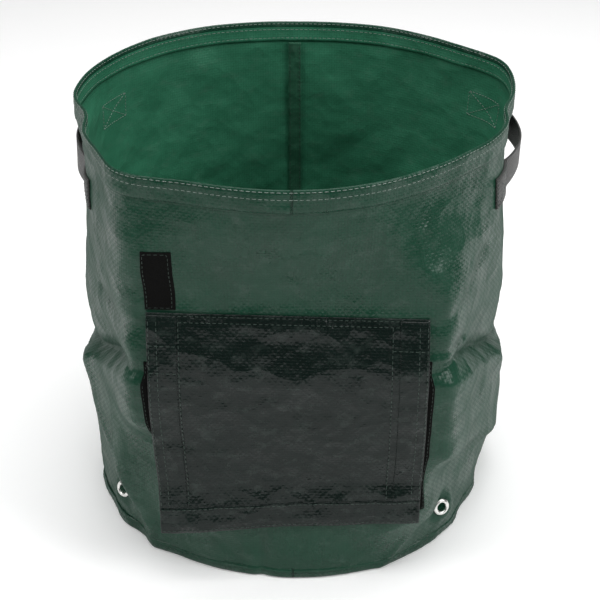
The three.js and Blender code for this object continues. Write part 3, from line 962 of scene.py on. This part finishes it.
# ---------------------------------------------------------------- eyelets
def turned(name, profile, centre, outward, steps=44):
    """A closed ring turned from a profile of (radius, height) about a line out of the wall."""
    outward = outward / np.linalg.norm(outward)
    aside = np.cross([0, 0, 1], outward)
    aside /= np.linalg.norm(aside)
    above = np.cross(outward, aside)
    vertices, faces = [], []
    count = len(profile)
    for i in range(steps):
        turn = 2 * math.pi * i / steps
        spoke = aside * math.cos(turn) + above * math.sin(turn)
        vertices += [centre + spoke * r + outward * h for r, h in profile]
        for k in range(count):
            a, b = i * count + k, i * count + (k + 1) % count
            c, d = ((i + 1) % steps) * count + (k + 1) % count, ((i + 1) % steps) * count + k
            faces.append((a, b, c, d))
    return fix_normals(make_object(name, vertices, faces, np.asarray(vertices)[:, [0, 2]]))


# Sections of the eyelet and its washer: radius, and distance out of the wall's outer face
EYELET_PROFILE = [
    (3.8, -2.0), (3.8, 0.9), (3.95, 1.35), (4.35, 1.75), (4.9, 1.95), (5.6, 1.9), (6.4, 1.6),
    (7.0, 1.1), (7.2, 0.6), (7.0, 0.35), (5.4, 0.5), (4.6, 0.4), (4.6, -2.0), (4.2, -2.3),
]
WASHER_PROFILE = [(4.7, -1.8), (5.6, -2.2), (6.8, -1.9), (7.0, -1.5), (6.7, -1.1), (4.7, -1.1)]
for name, angle in EYELET_ANGLES.items():
    s = arc(angle)
    centre = wall(s, EYELET_Z, 0)
    along_wall = wall(s + 6, EYELET_Z, 0) - wall(s - 6, EYELET_Z, 0)
    up_wall = wall(s, EYELET_Z + 6, 0) - wall(s, EYELET_Z - 6, 0)
    outward = np.cross(along_wall, up_wall)
    pieces = {"grommet_": (EYELET_PROFILE, "eyelet_"), "grommet_washer_": (WASHER_PROFILE, "washer_")}
    for prefix, (profile, node_prefix) in pieces.items():
        metal = turned(prefix + name, profile, centre, outward)
        set_piece(metal, METAL, [node_prefix + name])


# ---------------------------------------------------------------- floor, light, camera
FLOOR_RADIUS = 1.75  # metres
FLOOR_SIDES = 96


def floor():
    """A pale round floor, a hair below the bag."""
    mesh = bpy.data.meshes.new("floor")
    turns = np.linspace(0, 2 * math.pi, FLOOR_SIDES + 1)[:-1]
    edge = [(FLOOR_RADIUS * math.cos(turn), FLOOR_RADIUS * math.sin(turn), 0) for turn in turns]
    mesh.from_pydata(edge, [], [tuple(range(FLOOR_SIDES))])
    obj = bpy.data.objects.new("floor", mesh)
    bpy.context.collection.objects.link(obj)
    material, tree, shader = new_material("Floor", Roughness=0.9, Emission_Strength=0.12)
    grain = noise(tree, node(tree, "TexCoord").outputs["Object"], 30.0)
    shade = mix_colour(tree, grain, (0.93, 0.93, 0.93, 1), (0.95, 0.95, 0.95, 1))
    tree.links.new(shade, shader.inputs["Base Color"])
    shader.inputs["Emission Color"].default_value = (1, 1, 1, 1)
    mesh.materials.append(material)
    obj.location.z = -0.0003


def softbox(name, place, size, energy):
    """A rectangular lamp aimed at the bag."""
    data = bpy.data.lights.new(name, "AREA")
    data.shape = "RECTANGLE"
    data.size, data.size_y = size
    data.energy = energy
    obj = bpy.data.objects.new(name, data)
    bpy.context.collection.objects.link(obj)
    obj.location = place
    obj.rotation_euler = (Vector((0, 0, 0.15)) - Vector(place)).to_track_quat("-Z", "Y").to_euler()


floor()
softbox("top_light", (0.1, 0.15, 1.9), (1.9, 1.9), 38)
softbox("front_light", (0.0, -1.3, 2.1), (0.9, 0.6), 4)
softbox("left_light", (-1.6, -0.7, 1.3), (0.9, 0.9), 12)
softbox("right_light", (1.6, -0.9, 1.3), (0.9, 0.9), 20)
world = bpy.data.worlds.new("Studio")
world.use_nodes = True
world.node_tree.nodes["Background"].inputs["Color"].default_value = (1, 1, 1, 1)
world.node_tree.nodes["Background"].inputs["Strength"].default_value = 0.16
bpy.context.scene.world = world
bpy.context.scene.view_settings.view_transform = "Standard"

camera = bpy.data.cameras.new("camera")
camera.lens = 90.54
camera.sensor_width = 36.0
viewer = bpy.data.objects.new("camera", camera)
bpy.context.collection.objects.link(viewer)
viewer.location = (0.0010, -1.1135, 0.8080)
viewer.rotation_euler = (math.radians(59.89), 0, 0)
bpy.context.scene.camera = viewer

bpy.context.view_layer.update()
